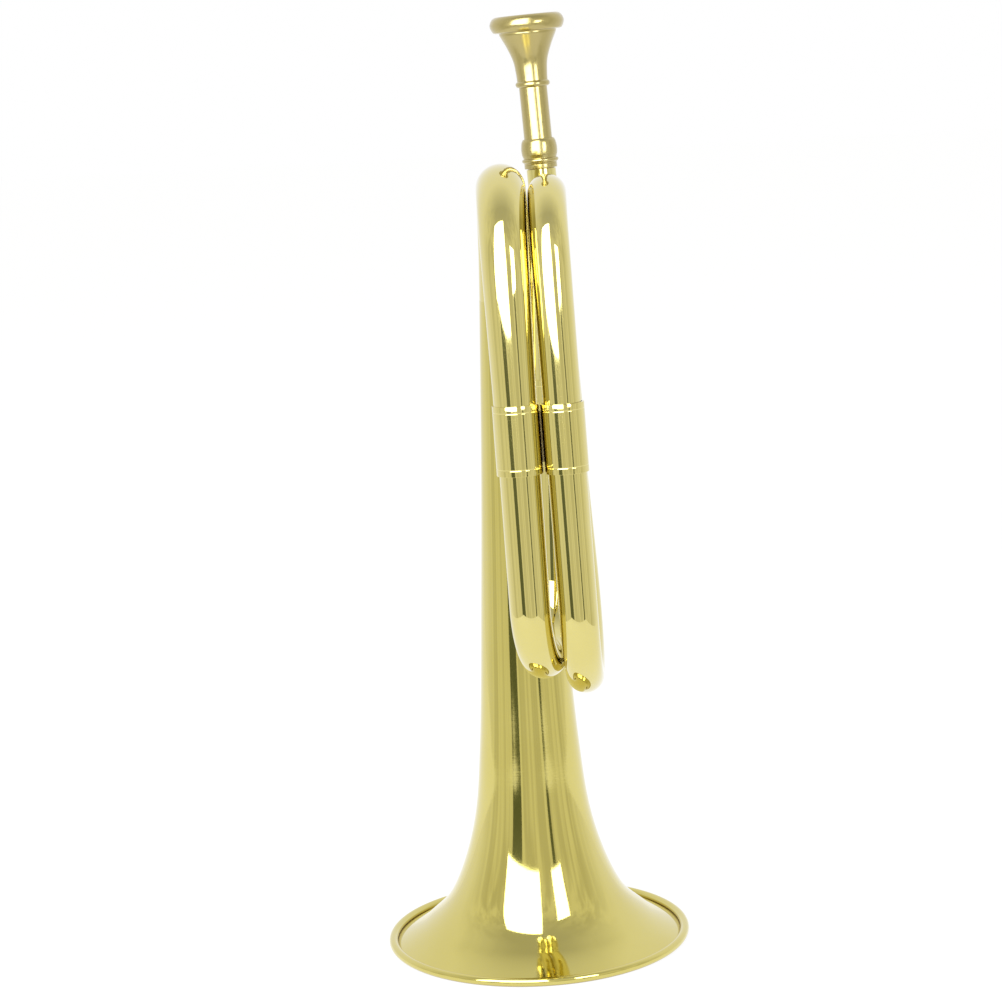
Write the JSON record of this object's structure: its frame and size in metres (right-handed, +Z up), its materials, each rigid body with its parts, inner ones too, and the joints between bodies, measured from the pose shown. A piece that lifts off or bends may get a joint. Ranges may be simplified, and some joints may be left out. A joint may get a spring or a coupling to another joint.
{
  "type": "bugle",
  "caption": "Double-wrap brass bugle standing on its bell: conical bell, two narrow front loops with ferrules, and a cup mouthpiece that pulls out of its receiver.",
  "frame": {"origin": "centre of the bounding box's footprint, on the surface that the bell rim stands on", "axes": "+Z up along the bell's axis; the two front loops face -Y; +X is to the right when looking along +Y"},
  "size_m": [0.1126, 0.1288, 0.3431],
  "materials": {
    "sheet_brass": "bright polished sheet brass under clear lacquer, with faint circumferential spinning lines",
    "tube_brass": "mirror-polished drawn brass tube under clear lacquer",
    "turned_brass": "polished turned brass with fine lathe lines",
    "silver_solder": "smoothed solder, slightly duller than the tubes"
  },
  "bodies": {
    "horn": {"bell": "sheet_brass", "rim_wire": "turned_brass", "bell_tail_sleeve": "tube_brass", "leadpipe": "tube_brass", "lower_right_bow": "tube_brass", "upper_right_bow": "tube_brass", "lower_left_bow": "tube_brass", "upper_left_bow": "tube_brass", "left_ferrule": "turned_brass", "right_ferrule": "turned_brass", "middle_ferrule": "turned_brass", "leadpipe_ferrule": "turned_brass", "mouthpiece_receiver": "turned_brass", "upper_middle_saddle": "silver_solder", "upper_leadpipe_saddle": "silver_solder", "lower_middle_saddle": "silver_solder", "lower_leadpipe_saddle": "silver_solder", "front_bridge": "silver_solder"},
    "mouthpiece": {"mouthpiece": "turned_brass"}
  },
  "joints": [
    {"name": "mouthpiece_pull", "type": "slide", "parent": "horn", "child": "mouthpiece", "axis": [-0.0498, 0.0697, 0.9963], "range_m": [0, 0.03]}
  ]
}
